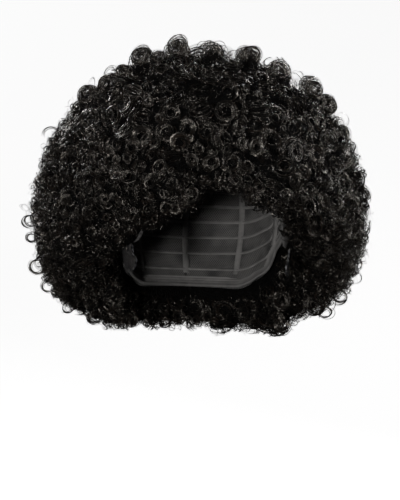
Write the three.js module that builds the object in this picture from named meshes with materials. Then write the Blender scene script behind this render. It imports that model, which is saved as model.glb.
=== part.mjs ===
// Afro wig of black curled fibre, in the shape it has when worn: a stretch cap with an elastic
// edge, six sections of hair sewn over it, and a flat sideburn below each ear tab.
// Millimetres, +Z up. The face opening looks along -Y, the wearer's left is +X, and the origin is
// where the top of the head meets the inside of the cap.
import * as THREE from "three";
import { mergeVertices } from "three/addons/utils/BufferGeometryUtils.js";

// The head that the cap fits. Lengths forward and back are taken from the line through the ears.
const HEAD_BREADTH = 156;
const HEAD_FRONT = 94;
const HEAD_BACK = 104;
const HEAD_CROWN = 92; // from the top of the head down to its widest level
const JAW_BREADTH = 140; // across the jaw, at the hair's lower edge
const NECK_BACK = 70;

// How far the hair stands off the head
const HAIR_TOP = 60;
const HAIR_LEFT = 71;
const HAIR_RIGHT = 74;
const HAIR_FRONT = 29;
const HAIR_BACK = 56;
const HAIR_DROP = 200; // from the top of the head down to the hair's lower edge
const HAIR_WIDEST = 88; // from the top of the head down to the hair's widest level

// The ball that the hair's outer form follows
const TOP_SQUARENESS = 2; // 2 is an ellipse, and more is fuller at the shoulder
const BOTTOM_SQUARENESS = 2.4;
const BALL_CLOSES = 1.05; // share of the hair's drop at which the ball would close
const LIP_BULGE = 0.03; // how far the hair's lower edge swells, as a share of its length

// Curls stand in clumps, which make the outline lumpy
const CLUMP_PITCH = 30;
const CLUMP_HEIGHT = 7;
const CLUMP_REACH = 0.75; // share of the pitch at which a clump has sloped down to nothing

// Cap
const CAP_THICKNESS = 1.5;
const BAND_WIDTH = 14;
const BAND_INSET = 0.8; // how far the elastic stands into the head's side of the cap
const SEAM_GAP = 0.6; // clearance between neighbouring pieces
const ROOT_GAP = 0.9; // clearance between the cap and the hair's faceted inner wall

// Sideburns, which lie flat against the cheek, under the hair that hangs past them
const SIDEBURN_LENGTH = 23;
const SIDEBURN_THICKNESS = CAP_THICKNESS + ROOT_GAP - SEAM_GAP;

const HAIR_COLOUR = 0x12110f;
const SIDEBURN_COLOUR = 0x17120f;
const CAP_COLOUR = 0x1c1b1a;
const BAND_COLOUR = 0x161616;

// The wig's edge by azimuth, in degrees from the middle of the forehead towards the wearer's left.
// cap, inner and outer are heights below the top of the head, as shares of HAIR_DROP: where the cap
// ends, where the hair lies against the face, and where the hair's outer form ends.
const EDGE = [
  { azimuth: -180, cap: 0.8, inner: 0.98, outer: 0.93 },
  { azimuth: -140, cap: 0.8, inner: 0.98, outer: 0.93 },
  { azimuth: -118, cap: 0.74, inner: 0.99, outer: 0.93 },
  { azimuth: -106, cap: 0.62, inner: 0.96, outer: 0.92 },
  { azimuth: -94, cap: 0.54, inner: 0.66, outer: 0.9 },
  { azimuth: -86, cap: 0.55, inner: 0.63, outer: 0.88 },
  { azimuth: -78, cap: 0.6, inner: 0.62, outer: 0.82 },
  { azimuth: -66, cap: 0.6, inner: 0.61, outer: 0.7 },
  { azimuth: -57, cap: 0.5, inner: 0.56, outer: 0.62 },
  { azimuth: -48, cap: 0.43, inner: 0.54, outer: 0.56 },
  { azimuth: -36, cap: 0.36, inner: 0.52, outer: 0.53 },
  { azimuth: -30, cap: 0.34, inner: 0.45, outer: 0.46 },
  { azimuth: -15, cap: 0.29, inner: 0.43, outer: 0.44 },
  { azimuth: -10, cap: 0.28, inner: 0.33, outer: 0.36 },
  { azimuth: -6, cap: 0.28, inner: 0.31, outer: 0.34 },
  { azimuth: 4, cap: 0.28, inner: 0.33, outer: 0.36 },
  { azimuth: 9, cap: 0.28, inner: 0.4, outer: 0.41 },
  { azimuth: 24, cap: 0.32, inner: 0.42, outer: 0.43 },
  { azimuth: 34, cap: 0.36, inner: 0.44, outer: 0.46 },
  { azimuth: 42, cap: 0.4, inner: 0.49, outer: 0.52 },
  { azimuth: 52, cap: 0.46, inner: 0.55, outer: 0.59 },
  { azimuth: 66, cap: 0.6, inner: 0.61, outer: 0.72 },
  { azimuth: 78, cap: 0.6, inner: 0.62, outer: 0.82 },
  { azimuth: 86, cap: 0.55, inner: 0.63, outer: 0.88 },
  { azimuth: 94, cap: 0.54, inner: 0.66, outer: 0.9 },
  { azimuth: 106, cap: 0.62, inner: 0.96, outer: 0.92 },
  { azimuth: 118, cap: 0.74, inner: 0.99, outer: 0.93 },
  { azimuth: 140, cap: 0.8, inner: 0.98, outer: 0.93 },
  { azimuth: 180, cap: 0.8, inner: 0.98, outer: 0.93 },
];

// A sideburn's outline: azimuths of its front and back edge down its length, on the wearer's left
const SIDEBURN_SECTIONS = [
  { down: 0.0, front: 66, back: 78 },
  { down: 0.5, front: 65, back: 77 },
  { down: 0.85, front: 62, back: 76 },
  { down: 1.0, front: 62.5, back: 74 },
];

// Columns of facets from the middle of the forehead round to the back, in degrees, finer over the
// face and behind the ears. The sections of hair part at the two named azimuths.
const FACE_AZIMUTH = 52;
const BACK_AZIMUTH = 116;
const COLUMN_STEPS = [
  { from: 0, to: FACE_AZIMUTH, step: 5.2 },
  { from: FACE_AZIMUTH, to: 94, step: 6 },
  { from: 94, to: 106, step: 2.4 },
  { from: 106, to: BACK_AZIMUTH, step: 5 },
  { from: BACK_AZIMUTH, to: 180, step: 8 },
];

// Rows of facets from the crown down: over the cap's net, over its elastic band, and from there to
// the hair's lower edge. The cap and the hair share them, so that their facets follow each other.
const NET_ROWS = 11;
const BAND_ROWS = 1;
const FREE_ROWS = 3;
const ROWS = NET_ROWS + BAND_ROWS + FREE_ROWS;
const CROWN_ROWS = 5;
const BACK_ROWS = 9;
const DEPTH_STEPS = 3;
const SIDEBURN_COLUMNS = 4;
const SIDEBURN_ROWS = 6;

const RIGHT_ANGLE = Math.PI / 2;
const ALMOST_NOTHING = 1e-6; // shares and counts closer than this are the same
const MERGE_DISTANCE = 1e-3; // vertices closer than this are one
const { degToRad, radToDeg, lerp: mix, smoothstep } = THREE.MathUtils;

// A column of the table above at any azimuth, eased between its rows
function edgeAt(column, azimuth) {
  const next = Math.max(1, EDGE.findIndex((row) => row.azimuth >= azimuth));
  const [low, high] = [EDGE[next - 1], EDGE[next]];
  const share = smoothstep(azimuth, low.azimuth, high.azimuth);
  return mix(low[column], high[column], share) * HAIR_DROP;
}

// The angle at which a height below the top of the head lies on the head's profile: a quarter
// ellipse down to the widest level, and then one radian for each HEAD_CROWN of height
function headAngle(depth) {
  if (depth <= HEAD_CROWN) return Math.acos(1 - depth / HEAD_CROWN);
  return RIGHT_ANGLE + (depth - HEAD_CROWN) / HEAD_CROWN;
}

// A point that lies the given offset outside the head
function headPoint(azimuth, angle, offset) {
  const turn = degToRad(azimuth);
  const below = Math.max(0, angle - RIGHT_ANGLE) * HEAD_CROWN;
  const dome = Math.min(angle, RIGHT_ANGLE);
  const narrowing = smoothstep(below, 0, HAIR_DROP - HEAD_CROWN);
  const side = mix(HEAD_BREADTH, JAW_BREADTH, narrowing) / 2 + offset;
  const back = mix(HEAD_BACK, NECK_BACK, narrowing) + offset;
  const along = Math.cos(turn) > 0 ? HEAD_FRONT + offset : back;
  return new THREE.Vector3(
    side * Math.sin(dome) * Math.sin(turn),
    -along * Math.sin(dome) * Math.cos(turn),
    offset - (HEAD_CROWN + offset) * (1 - Math.cos(dome)) - below,
  );
}

// The ball that the hair's outer form follows
const BALL = {
  left: HEAD_BREADTH / 2 + HAIR_LEFT,
  right: HEAD_BREADTH / 2 + HAIR_RIGHT,
  along: (HEAD_FRONT + HAIR_FRONT + HEAD_BACK + HAIR_BACK) / 2,
  middle: (HEAD_BACK + HAIR_BACK - HEAD_FRONT - HAIR_FRONT) / 2,
  up: HAIR_WIDEST + HAIR_TOP,
  down: HAIR_DROP * BALL_CLOSES - HAIR_WIDEST,
};

// The polar angle at which a height below the top of the head lies on the ball
function ballAngle(depth) {
  const height = HAIR_WIDEST - depth;
  if (height >= 0) return Math.acos((height / BALL.up) ** (TOP_SQUARENESS / 2));
  return Math.PI - Math.acos((-height / BALL.down) ** (BOTTOM_SQUARENESS / 2));
}

// Middles of the clumps, spread evenly over a sphere of directions by the golden angle
const GOLDEN_ANGLE = Math.PI * (3 - Math.sqrt(5));
const CLUMPS = (() => {
  const radius = (BALL.left + BALL.along + BALL.up + BALL.down) / 4;
  const count = Math.round((4 * Math.PI * radius ** 2) / CLUMP_PITCH ** 2);
  return Array.from({ length: count }, (_, i) => {
    const height = 1 - (2 * i + 1) / count;
    const direction = new THREE.Vector3().setFromSphericalCoords(1, Math.acos(height), i * GOLDEN_ANGLE);
    return direction.multiplyScalar(radius / CLUMP_PITCH);
  });
})();

// How far a point in this direction stands proud of the ball: from 0 between clumps to CLUMP_HEIGHT
function clumpHeight(direction) {
  const place = direction.clone().multiplyScalar(CLUMPS[0].length());
  const nearest = Math.sqrt(Math.min(...CLUMPS.map((clump) => clump.distanceToSquared(place))));
  return CLUMP_HEIGHT * Math.max(0, 1 - (nearest / CLUMP_REACH) ** 2);
}

// A point on the hair's outer form, with its clumps
function ballPoint(azimuth, angle) {
  const turn = degToRad(azimuth);
  const squareness = angle <= RIGHT_ANGLE ? TOP_SQUARENESS : BOTTOM_SQUARENESS;
  const out = Math.abs(Math.sin(angle)) ** (2 / squareness);
  const up = Math.sign(Math.cos(angle)) * Math.abs(Math.cos(angle)) ** (2 / squareness);
  const direction = new THREE.Vector3(out * Math.sin(turn), -out * Math.cos(turn), up).normalize();
  const proud = clumpHeight(direction) - CLUMP_HEIGHT / 2;
  const side = turn > 0 ? BALL.left : BALL.right;
  return new THREE.Vector3(
    (side + proud) * out * Math.sin(turn),
    BALL.middle - (BALL.along + proud) * out * Math.cos(turn),
    (up > 0 ? BALL.up + proud : BALL.down + proud) * up - HAIR_WIDEST,
  );
}

// The head angle at which the cap's elastic band begins
function bandStart(azimuth) {
  return headAngle(edgeAt("cap", azimuth)) - BAND_WIDTH / HEAD_CROWN;
}

// The head angle of a row that is counted from the crown
function rowAngle(azimuth, row) {
  const start = bandStart(azimuth);
  if (row <= NET_ROWS) return (row / NET_ROWS) * start;
  const rim = headAngle(edgeAt("cap", azimuth));
  const under = row - NET_ROWS - BAND_ROWS;
  if (under <= 0) return mix(rim, start, -under / BAND_ROWS);
  return mix(rim, headAngle(edgeAt("inner", azimuth)), under / FREE_ROWS);
}

// A point of the hair. out runs from 0 on the cap to 1 on the hair's outer form. Half-way out, the
// rows sag, which rounds the lower edge.
function hairPoint(azimuth, row, out) {
  const sagging = row * (1 + LIP_BULGE * Math.sin(Math.PI * out));
  const outer = (sagging / ROWS) * ballAngle(edgeAt("outer", azimuth));
  const root = headPoint(azimuth, rowAngle(azimuth, sagging), CAP_THICKNESS + ROOT_GAP);
  return root.lerp(ballPoint(azimuth, outer), out);
}

// Azimuths of the columns, from the back round by the wearer's right to the back again
const COLUMNS = (() => {
  const half = COLUMN_STEPS.flatMap(({ from, to, step }) => {
    const count = Math.round((to - from) / step);
    return Array.from({ length: count }, (_, i) => mix(from, to, i / count));
  });
  return [-180, ...half.slice(1).reverse().map((azimuth) => -azimuth), ...half];
})();

// The azimuth of a column counted from the back, also part of the way to the next one. A count
// past the last column goes on round the head.
function columnAzimuth(column) {
  const whole = Math.floor(column + ALMOST_NOTHING);
  const turned = (index) => COLUMNS[index % COLUMNS.length] + 360 * Math.floor(index / COLUMNS.length);
  const azimuth = mix(turned(whole), turned(whole + 1), column - whole);
  return azimuth > 180 ? azimuth - 360 : azimuth;
}

// Moves every vertex of a geometry through a function of its place, and closes its seams
function bend(geometry, placeOf) {
  geometry.deleteAttribute("normal");
  geometry.deleteAttribute("uv");
  const places = geometry.getAttribute("position");
  const place = new THREE.Vector3();
  for (let i = 0; i < places.count; i++) {
    place.fromBufferAttribute(places, i);
    places.setXYZ(i, ...placeOf(place).toArray());
  }
  const closed = mergeVertices(geometry, MERGE_DISTANCE);
  closed.computeVertexNormals();
  return closed;
}

// Splits every four-cornered facet along the diagonal that climbs more, so that two pieces that
// face each other have facets that follow each other. climbOf counts a vertex's place in columns
// round the head, plus rows towards the crown, less steps outwards.
function splitAlike(geometry, climbOf) {
  const index = geometry.getIndex();
  const climb = (from, to) => Math.abs(climbOf(from) - climbOf(to));
  for (let first = 0; first < index.count; first += 6) {
    const [a, b, d, ...others] = [0, 1, 2, 3, 4, 5].map((corner) => index.getX(first + corner));
    const c = others.find((vertex) => vertex !== b && vertex !== d);
    if (climb(a, c) < climb(b, d)) continue;
    [a, b, c, a, c, d].forEach((vertex, corner) => index.setX(first + corner, vertex));
  }
}

// The gap at a seam down the hair, and at one across it, where it is counted in rows
const SEAM_DEGREES = radToDeg(SEAM_GAP / (HEAD_BREADTH / 2));
const seamRows = (azimuth) => (SEAM_GAP * NET_ROWS) / (HEAD_CROWN * bandStart(azimuth));

// A section of hair: a block of whole columns and rows, bent over the head. Each face that meets
// another section is drawn in by half of the seam's gap.
function hairBlock(firstColumn, lastColumn, firstRow, lastRow) {
  const [columns, rows] = [lastColumn - firstColumn, lastRow - firstRow];
  const block = new THREE.BoxGeometry(1, 1, 1, columns, rows, DEPTH_STEPS);
  const places = block.getAttribute("position");
  splitAlike(block, (vertex) => places.getX(vertex) + places.getY(vertex) - places.getZ(vertex));
  return bend(block, ({ x, y, z }) => {
    const share = x + 0.5;
    const down = 0.5 - y;
    let azimuth = columnAzimuth(mix(firstColumn, lastColumn, share));
    if (share < ALMOST_NOTHING) azimuth += SEAM_DEGREES / 2;
    if (share > 1 - ALMOST_NOTHING) azimuth -= SEAM_DEGREES / 2;
    let row = mix(firstRow, lastRow, down);
    if (down < ALMOST_NOTHING) row += seamRows(azimuth) / 2;
    if (down > 1 - ALMOST_NOTHING && lastRow < ROWS) row -= seamRows(azimuth) / 2;
    return hairPoint(azimuth, row, z + 0.5);
  });
}

// A closed round of all columns. Each corner of the profile is a Vector2 of how far down the head
// it lies, from 0 at the crown, and its level, which pointOf turns into a place.
function round(profile, pointOf) {
  const turned = new THREE.LatheGeometry(profile, COLUMNS.length);
  splitAlike(turned, (vertex) => {
    const corner = profile[vertex % profile.length];
    return Math.floor(vertex / profile.length) - corner.x - corner.y;
  });
  return bend(turned, ({ x, y, z }) => {
    const turn = Math.atan2(x, z) / (2 * Math.PI);
    const column = Math.round((turn < -ALMOST_NOTHING ? turn + 1 : turn) * COLUMNS.length);
    return pointOf(columnAzimuth(column % COLUMNS.length), Math.hypot(x, z), y);
  });
}

// A profile from one row to another: out along the inner level, then back along the outer one
function ringProfile(rows, levels) {
  const [first, last] = [rows[0], rows.at(-1)];
  const inner = rows.map((x) => new THREE.Vector2(x, levels[0]));
  const edge = levels.slice(1, -1).map((y) => new THREE.Vector2(last, y));
  const outer = rows.toReversed().map((x) => new THREE.Vector2(x, levels.at(-1)));
  const closing = first > 0 ? [inner[0].clone()] : [];
  return [...inner, ...edge, ...outer, ...closing];
}

const rowsTo = (last) => Array.from({ length: last + 1 }, (_, row) => row);

function hairCrown() {
  const levels = rowsTo(DEPTH_STEPS).map((step) => step / DEPTH_STEPS);
  return round(ringProfile(rowsTo(CROWN_ROWS), levels), (azimuth, row, out) => {
    const last = row > CROWN_ROWS - ALMOST_NOTHING;
    return hairPoint(azimuth, last ? row - seamRows(azimuth) / 2 : row, out);
  });
}

function capNet() {
  return round(ringProfile(rowsTo(NET_ROWS), [0, CAP_THICKNESS]), (azimuth, row, offset) => {
    const last = row > NET_ROWS - ALMOST_NOTHING;
    return headPoint(azimuth, rowAngle(azimuth, last ? row - seamRows(azimuth) : row), offset);
  });
}

function capBand() {
  const rows = [NET_ROWS, NET_ROWS + BAND_ROWS];
  return round(ringProfile(rows, [-BAND_INSET, CAP_THICKNESS]), (azimuth, row, offset) => {
    return headPoint(azimuth, rowAngle(azimuth, row), offset);
  });
}

// A sideburn on the wearer's left (side 1) or right (side -1), hanging from the cap's ear tab
function sideburn(side) {
  const flat = new THREE.BoxGeometry(1, 1, 1, SIDEBURN_COLUMNS, SIDEBURN_ROWS, 1);
  return bend(flat, ({ x, y, z }) => {
    const down = 0.5 - y;
    const next = Math.max(1, SIDEBURN_SECTIONS.findIndex((row) => row.down >= down - ALMOST_NOTHING));
    const [upper, lower] = [SIDEBURN_SECTIONS[next - 1], SIDEBURN_SECTIONS[next]];
    const share = (down - upper.down) / (lower.down - upper.down);
    const front = mix(upper.front, lower.front, share);
    const back = mix(upper.back, lower.back, share);
    const azimuth = mix(front, back, side > 0 ? x + 0.5 : 0.5 - x);
    const tab = edgeAt("cap", side * azimuth);
    const drop = tab + SEAM_GAP + down * SIDEBURN_LENGTH;
    return headPoint(side * azimuth, headAngle(drop), (z + 0.5) * SIDEBURN_THICKNESS);
  });
}

const hairMaterial = new THREE.MeshStandardMaterial({ color: HAIR_COLOUR, roughness: 0.45, metalness: 0 });
const tuftMaterial = new THREE.MeshStandardMaterial({ color: SIDEBURN_COLOUR, roughness: 0.6, metalness: 0 });
const netMaterial = new THREE.MeshStandardMaterial({ color: CAP_COLOUR, roughness: 0.9, metalness: 0 });
const bandMaterial = new THREE.MeshStandardMaterial({ color: BAND_COLOUR, roughness: 0.8, metalness: 0 });

const columnAt = (azimuth) => COLUMNS.findIndex((angle) => Math.abs(angle - azimuth) < ALMOST_NOTHING);
const [RIGHT_BACK, RIGHT_FACE] = [columnAt(-BACK_AZIMUTH), columnAt(-FACE_AZIMUTH)];
const [LEFT_FACE, LEFT_BACK] = [columnAt(FACE_AZIMUTH), columnAt(BACK_AZIMUTH)];
const ONCE_ROUND = RIGHT_BACK + COLUMNS.length;

const PIECES = [
  ["cap_net", capNet(), netMaterial],
  ["cap_band", capBand(), bandMaterial],
  ["hair_crown", hairCrown(), hairMaterial],
  ["hair_fringe", hairBlock(RIGHT_FACE, LEFT_FACE, CROWN_ROWS, ROWS), hairMaterial],
  ["hair_right", hairBlock(RIGHT_BACK, RIGHT_FACE, CROWN_ROWS, ROWS), hairMaterial],
  ["hair_left", hairBlock(LEFT_FACE, LEFT_BACK, CROWN_ROWS, ROWS), hairMaterial],
  ["hair_back", hairBlock(LEFT_BACK, ONCE_ROUND, CROWN_ROWS, BACK_ROWS), hairMaterial],
  ["hair_nape", hairBlock(LEFT_BACK, ONCE_ROUND, BACK_ROWS, ROWS), hairMaterial],
  ["sideburn_left", sideburn(1), tuftMaterial],
  ["sideburn_right", sideburn(-1), tuftMaterial],
];

const wig = new THREE.Group();
wig.name = "afro_wig";
for (const [name, geometry, material] of PIECES) {
  const mesh = new THREE.Mesh(geometry, material);
  mesh.name = name;
  wig.add(mesh);
}

export default wig;
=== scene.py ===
"""Looks for the afro wig: curls, cap lining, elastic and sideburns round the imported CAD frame."""
import itertools
import math

import bpy
import numpy as np
from mathutils import Matrix, Vector
from mathutils.bvhtree import BVHTree
from mathutils.kdtree import KDTree


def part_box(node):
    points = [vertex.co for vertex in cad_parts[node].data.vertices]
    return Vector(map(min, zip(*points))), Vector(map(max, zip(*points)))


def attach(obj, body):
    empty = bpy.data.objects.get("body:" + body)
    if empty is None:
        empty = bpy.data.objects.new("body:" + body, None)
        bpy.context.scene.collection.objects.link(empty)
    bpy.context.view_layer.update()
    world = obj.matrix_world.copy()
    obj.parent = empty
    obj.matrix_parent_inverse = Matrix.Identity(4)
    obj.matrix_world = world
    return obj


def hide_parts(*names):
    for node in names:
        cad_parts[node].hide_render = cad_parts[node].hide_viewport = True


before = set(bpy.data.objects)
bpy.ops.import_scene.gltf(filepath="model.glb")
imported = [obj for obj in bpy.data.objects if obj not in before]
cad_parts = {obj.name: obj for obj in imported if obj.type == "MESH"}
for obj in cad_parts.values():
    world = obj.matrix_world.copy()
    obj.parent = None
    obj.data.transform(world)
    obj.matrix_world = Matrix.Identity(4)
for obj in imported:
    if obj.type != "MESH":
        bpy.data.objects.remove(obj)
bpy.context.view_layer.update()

MM = 0.001
HAIR_NODES = ("hair_crown", "hair_fringe", "hair_right", "hair_left", "hair_back", "hair_nape")
CAP_NODES = ("cap_net", "cap_band")
TAU = 2 * math.pi

rng = np.random.default_rng(7)


def table(columns, *rows):
    """The rows as dictionaries with these column names"""
    return tuple(dict(zip(columns, row, strict=True)) for row in rows)


def new_object(name, data):
    made = bpy.data.objects.new(name, data)
    bpy.context.scene.collection.objects.link(made)
    return made


# Camera and light

CAMERA_AZIMUTH = -10  # degrees
CAMERA_ROLL = 2  # degrees
CAMERA_DISTANCE = 2.2
CAMERA_TARGET = Vector((0, 0.018, -0.124))
CAMERA_LENS = 174.1


def add_camera():
    turn, roll = math.radians(CAMERA_AZIMUTH), math.radians(CAMERA_ROLL)
    back = Vector((math.sin(turn), -math.cos(turn), 0))
    right = Vector((math.cos(turn), math.sin(turn), 0))
    up = Vector((0, 0, 1))
    rolled_right = right * math.cos(roll) + up * math.sin(roll)
    rolled_up = up * math.cos(roll) - right * math.sin(roll)
    data = bpy.data.cameras.new("camera")
    data.lens = CAMERA_LENS
    camera = new_object("camera", data)
    axes = Matrix((rolled_right, rolled_up, back)).transposed().to_4x4()
    camera.matrix_world = Matrix.Translation(CAMERA_TARGET + back * CAMERA_DISTANCE) @ axes
    bpy.context.scene.camera = camera


# Each light's azimuth and height above the horizon in degrees, distance, width and power
LIGHTS = table(
    ("name", "azimuth", "elevation", "distance", "width", "power"),
    ("key", -58, 38, 2.3, 0.35, 23),
    ("fill", 50, 18, 2.4, 0.35, 35),
    ("low", -32, -7, 2.4, 0.35, 52),
    ("side", 96, 12, 2.3, 0.3, 32),
    ("back_left", 142, 32, 2.3, 0.5, 28),
    ("back_right", -142, 32, 2.3, 0.5, 28),
)
LIGHT_AIM = Vector((0, 0.02, -0.08))


def add_lights():
    for light in LIGHTS:
        turn, rise = math.radians(light["azimuth"]), math.radians(light["elevation"])
        away = Vector((
            math.sin(turn) * math.cos(rise),
            -math.cos(turn) * math.cos(rise),
            math.sin(rise),
        ))
        data = bpy.data.lights.new(light["name"], "AREA")
        data.shape = "DISK"
        data.size = light["width"]
        data.energy = light["power"]
        lamp = new_object(light["name"], data)
        lamp.location = LIGHT_AIM + away * light["distance"]
        lamp.rotation_mode = "QUATERNION"
        lamp.rotation_quaternion = away.to_track_quat("Z", "Y")


# The backdrop is a round bowl: a floor that curves up into a wall on all sides
FLOOR_HEIGHT = -0.62
BOWL_FLOOR = 2.6
BOWL_CURVE = 1.6
BOWL_WALL = 3.5
BOWL_SIDES = 96
BOWL_STEPS = 16  # facets in the curve from floor to wall
BOWL_COLOUR = (0.86, 0.86, 0.86, 1)
BOWL_GLOW = 0.712
WORLD_LIGHT = 0.006


def add_backdrop():
    profile = [(0.0, FLOOR_HEIGHT), (BOWL_FLOOR / 2, FLOOR_HEIGHT)]
    for step in range(BOWL_STEPS + 1):
        angle = step / BOWL_STEPS * math.pi / 2
        profile.append((
            BOWL_FLOOR + BOWL_CURVE * math.sin(angle),
            FLOOR_HEIGHT + BOWL_CURVE * (1 - math.cos(angle)),
        ))
    profile.append((BOWL_FLOOR + BOWL_CURVE, FLOOR_HEIGHT + BOWL_CURVE + BOWL_WALL))
    vertices = [
        (out * math.cos(side / BOWL_SIDES * TAU), out * math.sin(side / BOWL_SIDES * TAU), height)
        for out, height in profile[1:]
        for side in range(BOWL_SIDES)
    ]
    faces = [list(range(BOWL_SIDES))]
    for ring in range(len(profile) - 2):
        for side in range(BOWL_SIDES):
            after = (side + 1) % BOWL_SIDES
            low, high = ring * BOWL_SIDES, (ring + 1) * BOWL_SIDES
            faces.append([low + side, high + side, high + after, low + after])
    mesh = bpy.data.meshes.new("backdrop")
    mesh.from_pydata(vertices, [], faces)
    mesh.shade_smooth()
    bowl = new_object("backdrop", mesh)
    material = bpy.data.materials.new("backdrop")
    material.use_nodes = True
    shader = material.node_tree.nodes["Principled BSDF"]
    shader.inputs["Base Color"].default_value = BOWL_COLOUR
    shader.inputs["Roughness"].default_value = 0.9
    shader.inputs["Emission Color"].default_value = (1, 1, 1, 1)
    shader.inputs["Emission Strength"].default_value = BOWL_GLOW
    mesh.materials.append(material)
    bowl.visible_glossy = False
    bowl.visible_diffuse = False


def set_world():
    world = bpy.data.worlds.new("studio")
    bpy.context.scene.world = world
    world.use_nodes = True
    background = world.node_tree.nodes["Background"]
    background.inputs["Color"].default_value = (1, 1, 1, 1)
    background.inputs["Strength"].default_value = WORLD_LIGHT
    bpy.context.scene.view_settings.view_transform = "Standard"


# Mesh tools

def mesh_arrays(mesh):
    co = np.empty(len(mesh.vertices) * 3, np.float32)
    mesh.vertices.foreach_get("co", co)
    normals = np.empty_like(co)
    mesh.vertices.foreach_get("normal", normals)
    return co.reshape(-1, 3).astype(float), normals.reshape(-1, 3).astype(float)


def joined_mesh(names):
    vertices, faces = [], []
    for name in names:
        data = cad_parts[name].data
        start = len(vertices)
        vertices += [tuple(v.co) for v in data.vertices]
        faces += [[start + i for i in polygon.vertices] for polygon in data.polygons]
    return vertices, faces


def surface_tree(names):
    vertices, faces = joined_mesh(names)
    return BVHTree.FromPolygons(vertices, faces)


def unit(rows):
    return rows / np.maximum(np.linalg.norm(rows, axis=-1, keepdims=True), 1e-12)


def smooth(share):
    share = np.clip(share, 0, 1)
    return share * share * (3 - 2 * share)


def new_mesh(name, co, quads, normals=None, maps=None):
    """A mesh from arrays: corners (n, 3), quads (m, 4), normals (n, 3) and UV maps {name: (n, 2)}"""
    mesh = bpy.data.meshes.new(name)
    mesh.vertices.add(len(co))
    mesh.vertices.foreach_set("co", np.ascontiguousarray(co, np.float32).ravel())
    mesh.loops.add(quads.size)
    mesh.loops.foreach_set("vertex_index", np.ascontiguousarray(quads, np.int32).ravel())
    mesh.polygons.add(len(quads))
    mesh.polygons.foreach_set("loop_start", np.arange(0, quads.size, quads.shape[1], dtype=np.int32))
    mesh.update(calc_edges=True)
    mesh.shade_smooth()
    for map_name, uv in (maps or {}).items():
        layer = mesh.uv_layers.new(name=map_name)
        layer.data.foreach_set("uv", np.ascontiguousarray(uv[quads.ravel()], np.float32).ravel())
    if normals is not None:
        mesh.normals_split_custom_set_from_vertices(normals.astype(np.float32))
    return mesh


def new_piece(name, mesh, material, nodes):
    piece = new_object(name, mesh)
    mesh.materials.append(material)
    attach(piece, "root")
    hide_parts(*nodes)
    return piece


# Materials

NOISE_LOW, NOISE_HIGH = 0.3, 0.7  # nearly all values of a noise lie between these


class Nodes:
    """A material's node tree, with one call for each new node"""

    def __init__(self, name):
        self.material = bpy.data.materials.new(name)
        self.material.use_nodes = True
        self.tree = self.material.node_tree
        self.shader = self.tree.nodes["Principled BSDF"]

    def add(self, kind, inputs=None, **settings):
        node = self.tree.nodes.new(kind)
        for key, value in settings.items():
            setattr(node, key, value)
        for key, value in (inputs or {}).items():
            self.feed(node.inputs[key], value)
        return node

    def feed(self, socket, value):
        if isinstance(value, bpy.types.NodeSocket):
            self.tree.links.new(value, socket)
        else:
            socket.default_value = value

    def math(self, operation, first, second=0.0):
        return self.add("ShaderNodeMath", {0: first, 1: second}, operation=operation).outputs[0]

    def wave(self, value, pace):
        return self.math("SINE", self.math("MULTIPLY", value, pace))

    def noise(self, vector, scale, detail=2.0):
        inputs = {"Vector": vector, "Scale": scale, "Detail": detail}
        return self.add("ShaderNodeTexNoise", inputs).outputs["Fac"]

    def ramp(self, share, stops):
        node = self.add("ShaderNodeValToRGB", {"Fac": share})
        colours = node.color_ramp.elements
        while len(colours) < len(stops):
            colours.new(0.5)
        for element, (place, colour) in zip(colours, stops):
            element.position = place
            element.color = (*colour, 1)
        return node.outputs["Color"]

    def spread(self, noise, low, high):
        """A noise stretched over the range from low to high"""
        node = self.add("ShaderNodeMapRange", {"Value": noise, "To Min": low, "To Max": high})
        node.inputs["From Min"].default_value = NOISE_LOW
        node.inputs["From Max"].default_value = NOISE_HIGH
        return node.outputs["Result"]

    def stretched(self, vector, scale):
        return self.add("ShaderNodeMapping", {"Vector": vector, "Scale": scale}).outputs["Vector"]

    def bump(self, height, strength, distance):
        inputs = {"Height": height, "Strength": strength, "Distance": distance}
        return self.add("ShaderNodeBump", inputs).outputs["Normal"]

    def finish(self, inputs):
        for key, value in inputs.items():
            self.feed(self.shader.inputs[key], value)
        return self.material


HAIR_DARK = (0.0025, 0.0023, 0.0022)
HAIR_BLACK = (0.0045, 0.0040, 0.0036)
HAIR_BROWN = (0.016, 0.011, 0.008)
HAIR_SMOOTHEST = 0.09  # the roughness of the brownest strands
HAIR_ROUGHER = 0.21  # how much rougher the darkest strands are
HAIR_GRAIN = 0.10  # and how much the grain along a strand adds


def strand_material(name, colours=(HAIR_DARK, HAIR_BLACK, HAIR_BROWN), smoothest=HAIR_SMOOTHEST):
    """Hair: each strand has its own tint and gloss, from the map that runs along the strands"""
    nodes = Nodes(name)
    place = nodes.add("ShaderNodeUVMap", uv_map="strand").outputs["UV"]
    drawn = nodes.stretched(place, (0.35, 5.0, 1))
    fibres = nodes.noise(drawn, 1.0, 3.0)
    single = nodes.stretched(place, (0.11, 0.02, 1))
    tint = nodes.noise(single, 1.0, 1.0)
    grain = nodes.spread(fibres, 0.0, HAIR_GRAIN)
    return nodes.finish({
        "Base Color": nodes.ramp(tint, tuple(zip((0.3, 0.52, 0.72), colours))),
        "Roughness": nodes.math("ADD", grain, nodes.spread(tint, smoothest + HAIR_ROUGHER, smoothest)),
        "Normal": nodes.bump(fibres, 0.25, 0.0002),
        "Specular IOR Level": 0.5,
        "Specular Tint": (1.0, 0.91, 0.80, 1),
    })


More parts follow.
